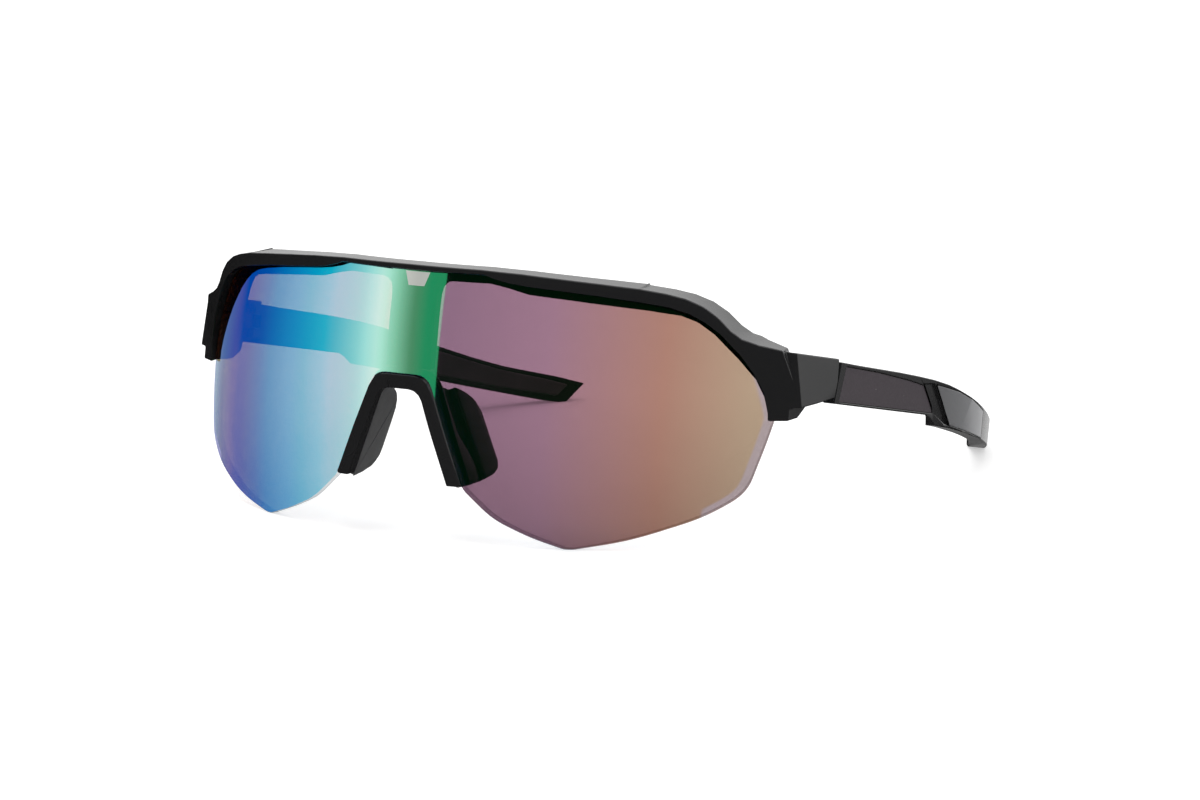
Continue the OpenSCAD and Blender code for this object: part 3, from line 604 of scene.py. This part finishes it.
HINGE_POINTS = [tuple(j["pos_m"]) for j in frame["joints"]]
# How far from a hinge's middle the edges of the frame and of an arm stay sharp
FRAME_CLEAR = 5 * MM
ARM_CLEAR = 4.2 * MM
# Edge radii, and on the bridge and the pads the shortest edge that has one and the height of the sharp feet
BRIDGE_EDGE = 0.15 * MM
BRIDGE_SHORT = 0.5 * MM
BRIDGE_FEET = 1.6 * MM
PAD_EDGE = 0.12 * MM
PAD_SHORT = 0.6 * MM
ARM_EDGE = 0.2 * MM
INLAY_EDGE = 0.12 * MM
COVER_EDGE = 0.2 * MM
GRIP_EDGE = 0.35 * MM
# Which face of the lens each material is for
COATED, BARE, CUT = range(3)


class SUNGLASSES_OT_lens(bpy.types.Operator):
    """Makes the mirror-coated lens as one closed curved sheet"""
    bl_idname = "sunglasses.lens"
    bl_label = "Lens"

    def execute(self, context):
        s = context.scene.sunglasses_lens
        points, low, high = lens_points(s)
        piece = mesh_object("mirror_lens", points, closed_loft(points))
        outward(piece)
        mesh = piece.data
        # Which face is coated, bare or cut: from the row of the section that it stands in
        around = points.shape[1]
        quads = (points.shape[0] - 1) * around
        row = np.arange(quads) % around
        kind = np.full(len(mesh.polygons), CUT, dtype=np.int32)
        kind[:quads][row < LENS_ROWS - 1] = COATED
        kind[:quads][(row >= LENS_ROWS + 2) & (row < 2 * LENS_ROWS + 1)] = BARE
        mesh.polygons.foreach_set("material_index", kind)
        # Distance of each point from the side edges, for the painted highlight there
        flat = points.reshape(-1, 3)
        line = np.concatenate([along_line(low, HIGHLIGHT_STEP), along_line(high, HIGHLIGHT_STEP)])
        line = line[line[:, 0] > HIGHLIGHT_FROM * s.half_width]
        gap = np.hypot(np.abs(flat[:, 0])[:, None] - line[:, 0], flat[:, 2][:, None] - line[:, 1]).min(axis=1)
        mesh.attributes.new("side_edge", "FLOAT", "POINT").data.foreach_set("value", gap.astype(np.float32))
        mesh.shade_smooth()
        mesh.set_sharp_from_angle(angle=LENS_SMOOTH)
        materials = [mirror_material(s), bare_polycarbonate(), cut_edge(s)]
        finish_piece(piece, materials, "front", ["shield_lens"])
        return {"FINISHED"}


class SUNGLASSES_OT_frame(bpy.types.Operator):
    """Dresses the brow frame in gloss lacquer, with moulded edges"""
    bl_idname = "sunglasses.frame"
    bl_label = "Brow frame"

    def execute(self, context):
        s = context.scene.sunglasses_frame
        piece = eased_copy("brow_frame", "gloss_brow_frame", s.edge, HINGE_POINTS, FRAME_CLEAR)
        gloss = lacquered_nylon("nylon_black_lacquer", s.black, 0.2, 1.2)
        finish_piece(piece, [gloss], "front", ["brow_frame"])
        return {"FINISHED"}


class SUNGLASSES_OT_bridge(bpy.types.Operator):
    """Dresses the nose bridge and its two rubber pads"""
    bl_idname = "sunglasses.bridge"
    bl_label = "Nose bridge and pads"

    def execute(self, context):
        s = context.scene.sunglasses_frame
        bridge = eased_copy(
            "nose_bridge", "satin_nose_bridge", BRIDGE_EDGE, short=BRIDGE_SHORT, keep_low=BRIDGE_FEET)
        satin = lacquered_nylon("nylon_black_satin", s.black, 0.26, 0.5)
        finish_piece(bridge, [satin], "front", ["nose_bridge"])
        rubber = moulded_rubber(s)
        for side in ("left", "right"):
            node = f"nose_pad_{side}"
            pad = eased_copy(node, f"rubber_{node}", PAD_EDGE, short=PAD_SHORT)
            finish_piece(pad, [rubber], "front", [node])
        return {"FINISHED"}


class SUNGLASSES_OT_temples(bpy.types.Operator):
    """Dresses both temples: arm, matt inlay, grey cover and rubber grip"""
    bl_idname = "sunglasses.temples"
    bl_label = "Temples"

    def execute(self, context):
        s = context.scene.sunglasses_frame
        gloss = lacquered_nylon("nylon_black_gloss", s.black, 0.24, 1.2, 0.2)
        parts = [
            ("arm", gloss, "frame_black", ARM_EDGE, HINGE_POINTS),
            ("inlay", matt_inlay(s), "inlay_matt", INLAY_EDGE, ()),
            ("cover", grey_lacquer(), "cover_grey", COVER_EDGE, ()),
            ("grip", moulded_rubber(s), "pad_rubber", GRIP_EDGE, ()),
        ]
        for side in ("left", "right"):
            for part, material, slot, edge, keep_off in parts:
                node = f"temple_{part}_{side}"
                piece = eased_copy(node, f"dressed_{node}", edge, keep_off, ARM_CLEAR)
                finish_piece(piece, [material], f"temple_{side}", [node])
        return {"FINISHED"}


class SUNGLASSES_OT_hinges(bpy.types.Operator):
    """Gives the hinge screws and the threaded inserts their metals"""
    bl_idname = "sunglasses.hinges"
    bl_label = "Hinge screws and inserts"

    def execute(self, context):
        steel = turned_metal("steel_stainless_turned", "#c6c7ca", 0.28)
        brass = turned_metal("brass_turned", "#d8b46a", 0.3)
        for side in ("left", "right"):
            for node, metal in ((f"hinge_screw_{side}", steel), (f"hinge_insert_{side}", brass)):
                slots = frame["nodes"][node].data.materials
                slots.clear()
                slots.append(metal)
        return {"FINISHED"}


def white_floor():
    """Paper, matt white: it takes the soft shadow, and shows the camera a full white round it."""
    material, tree, place = new_material("paper_matt_white")
    ray = add(tree, "ShaderNodeLightPath")
    fibre = noise(tree, place, 4, 2.0)
    shade = ramp(tree, fibre.outputs["Fac"], [(0.0, grey(0.84)), (1.0, grey(0.86))])
    paper = add(tree, "ShaderNodeBsdfDiffuse", {"Color": shade})
    glow = add(tree, "ShaderNodeEmission", {"Color": grey(1.0), "Strength": 0.52})
    lit = add(tree, "ShaderNodeAddShader", {0: paper.outputs[0], 1: glow.outputs[0]})
    return surfaced(material, add(tree, "ShaderNodeMixShader", {
        0: ray.outputs["Is Camera Ray"], 1: paper.outputs[0], 2: lit.outputs[0]}))


def card_white():
    """Card, matt white, lit: what the lens's far half mirrors."""
    material, tree, _ = new_material("card_white_lit")
    return surfaced(material, add(tree, "ShaderNodeEmission", {"Color": grey(1.0), "Strength": 1.0}))


FLOOR_HALF = 6.0
# The floor lies a hair under the table's level, so that no foot shares its plane
FLOOR_DROP = 0.02 * MM
CARD_RADIUS = 4.0
CARD_FROM = math.radians(-21.5)
CARD_TO = math.radians(-134)
CARD_LOW = -1.9
CARD_HIGH = 1.5
CARD_STEPS = 48
LAMP_PLACE = Vector((-0.2, 0.1, 1.5))
LAMP_SIZE = 1.2
# What the glossy parts mirror, by direction: a wall behind, from the horizon up, and a ceiling above
DARK = 0.02
WALL_BACK = (0.05, 0.35)
WALL_UP = (-0.12, 0.06)
CEILING_UP = (0.45, 0.8)
# Two low cards, the near endpiece's and the near temple's end's: azimuth, the cosines of the angles from its
# middle at which it begins and is full, and how bright it is
LOW_CARDS = [(139, 0.95, 0.985, 0.62), (194, 0.9, 0.975, 0.9)]


def card_wall():
    """A curved wall: x = R sin a, y = -R cos a, a from the first azimuth to the last, z from low to high."""
    a = np.linspace(CARD_FROM, CARD_TO, CARD_STEPS)[:, None]
    z = np.array([CARD_LOW, CARD_HIGH])[None, :]
    points = np.stack([CARD_RADIUS * np.sin(a) + 0 * z, -CARD_RADIUS * np.cos(a) + 0 * z, z + 0 * a], axis=-1)
    index = np.arange(2 * CARD_STEPS).reshape(-1, 2)
    faces = np.stack([index[:-1, 0], index[:-1, 1], index[1:, 1], index[1:, 0]], axis=-1)
    return points, faces.tolist()


def add_floor_and_card(scene):
    """The floor, and the card that the lens's far half mirrors."""
    corners = np.array([(-1, -1), (1, -1), (1, 1), (-1, 1)]) * FLOOR_HALF
    floor = mesh_object("floor", np.column_stack([corners, np.full(4, -FLOOR_DROP)]), [(0, 1, 2, 3)])
    floor.data.materials.append(white_floor())
    floor.visible_glossy = False
    card = mesh_object("card_wall", *card_wall())
    card.data.materials.append(card_white())
    # The card lights the lens alone, as a narrow one would that only the lens's far half mirrors
    lit = bpy.data.collections.new("card_lights_these")
    lit.objects.link(scene.objects["mirror_lens"])
    card.light_linking.receiver_collection = lit
    card.visible_camera = card.visible_diffuse = card.visible_shadow = card.visible_transmission = False


def add_lamp(scene, power):
    """The soft light overhead."""
    lamp = bpy.data.lights.new("overhead", "AREA")
    lamp.shape, lamp.size, lamp.energy = "SQUARE", LAMP_SIZE, power
    overhead = bpy.data.objects.new("overhead", lamp)
    overhead.location = LAMP_PLACE
    overhead.rotation_euler = LAMP_PLACE.to_track_quat("Z", "Y").to_euler()
    overhead.visible_glossy = False
    scene.collection.objects.link(overhead)


def mirrored_room(tree):
    """How bright each direction is to the glossy parts."""
    way = add(tree, "ShaderNodeTexCoord").outputs["Generated"]
    parts = add(tree, "ShaderNodeSeparateXYZ", {0: way})
    behind = remap(tree, parts.outputs["Y"], *WALL_BACK, DARK, 1.0)
    raised = remap(tree, parts.outputs["Z"], *WALL_UP)
    above = remap(tree, parts.outputs["Z"], *CEILING_UP, DARK, 1.0)
    level = calc(tree, "MAXIMUM", calc(tree, "MULTIPLY", behind, raised), above)
    for azimuth, begins, full, brightness in LOW_CARDS:
        a = math.radians(azimuth)
        middle = (math.sin(a), -math.cos(a), 0.0)
        near = add(tree, "ShaderNodeVectorMath", {0: way, 1: middle}, operation="DOT_PRODUCT")
        card = remap(tree, near.outputs["Value"], begins, full, DARK, brightness)
        level = calc(tree, "MAXIMUM", level, card)
    return level


def add_world(scene, ambient):
    """An even light all round, white to the camera and a room to the glossy parts."""
    world = bpy.data.worlds.new("white_room")
    world.use_nodes = True
    tree = world.node_tree
    tree.nodes.clear()
    ray = add(tree, "ShaderNodeLightPath")
    soft = add(tree, "ShaderNodeMix", {
        "Factor": ray.outputs["Is Glossy Ray"], 2: ambient, 3: mirrored_room(tree)}, data_type="FLOAT")
    seen = calc(tree, "MAXIMUM", ray.outputs["Is Camera Ray"], ray.outputs["Is Transmission Ray"])
    level = add(tree, "ShaderNodeMix", {"Factor": seen, 2: soft.outputs[0], 3: 1.0}, data_type="FLOAT")
    sky = add(tree, "ShaderNodeBackground", {"Color": grey(1.0), "Strength": level.outputs[0]})
    add(tree, "ShaderNodeOutputWorld", {"Surface": sky.outputs[0]})
    scene.world = world


def add_camera(scene, s):
    """The camera, at its azimuth and elevation round the point that it looks at."""
    lens = bpy.data.cameras.new("photo_camera")
    lens.sensor_width = SENSOR_WIDTH
    lens.lens = s.focal
    lens.clip_start, lens.clip_end = NEAREST, FARTHEST
    camera = bpy.data.objects.new("photo_camera", lens)
    a, e = s.azimuth, s.elevation
    back = Vector((math.sin(a) * math.cos(e), -math.cos(a) * math.cos(e), math.sin(e)))
    camera.location = Vector(s.aim) + s.distance * back
    camera.rotation_mode = "QUATERNION"
    camera.rotation_quaternion = (-back).to_track_quat("-Z", "Y")
    scene.collection.objects.link(camera)
    scene.camera = camera


class SUNGLASSES_OT_stage(bpy.types.Operator):
    """Sets the floor, the light, the world and the camera"""
    bl_idname = "sunglasses.stage"
    bl_label = "Stage"

    def execute(self, context):
        s = context.scene.sunglasses_stage
        add_floor_and_card(context.scene)
        add_lamp(context.scene, s.lamp)
        add_world(context.scene, s.ambient)
        add_camera(context.scene, s)
        context.scene.view_settings.view_transform = "Standard"
        return {"FINISHED"}


class SUNGLASSES_PT_panel(bpy.types.Panel):
    """Lists the pieces of the sunglasses"""
    bl_idname = "SUNGLASSES_PT_panel"
    bl_label = "Shield sunglasses"
    bl_space_type = "VIEW_3D"
    bl_region_type = "UI"
    bl_category = "Sunglasses"

    def draw(self, context):
        for operator in OPERATORS:
            self.layout.operator(operator.bl_idname)
        for group in GROUPS:
            settings = getattr(context.scene, group)
            box = self.layout.box()
            for name in settings.__annotations__:
                box.prop(settings, name)


OPERATORS = [
    SUNGLASSES_OT_lens, SUNGLASSES_OT_frame, SUNGLASSES_OT_bridge, SUNGLASSES_OT_temples,
    SUNGLASSES_OT_hinges, SUNGLASSES_OT_stage,
]
GROUPS = {
    "sunglasses_lens": LensSettings, "sunglasses_frame": FrameSettings, "sunglasses_stage": StageSettings,
}
CLASSES = [*GROUPS.values(), *OPERATORS, SUNGLASSES_PT_panel]


def register():
    for item in CLASSES:
        bpy.utils.register_class(item)
    for name, group in GROUPS.items():
        setattr(bpy.types.Scene, name, bpy.props.PointerProperty(type=group))


def unregister():
    for name in GROUPS:
        delattr(bpy.types.Scene, name)
    for item in reversed(CLASSES):
        bpy.utils.unregister_class(item)


def main():
    register()
    bpy.ops.sunglasses.lens()
    bpy.ops.sunglasses.frame()
    bpy.ops.sunglasses.bridge()
    bpy.ops.sunglasses.temples()
    bpy.ops.sunglasses.hinges()
    bpy.ops.sunglasses.stage()


if __name__ == "__main__":
    main()
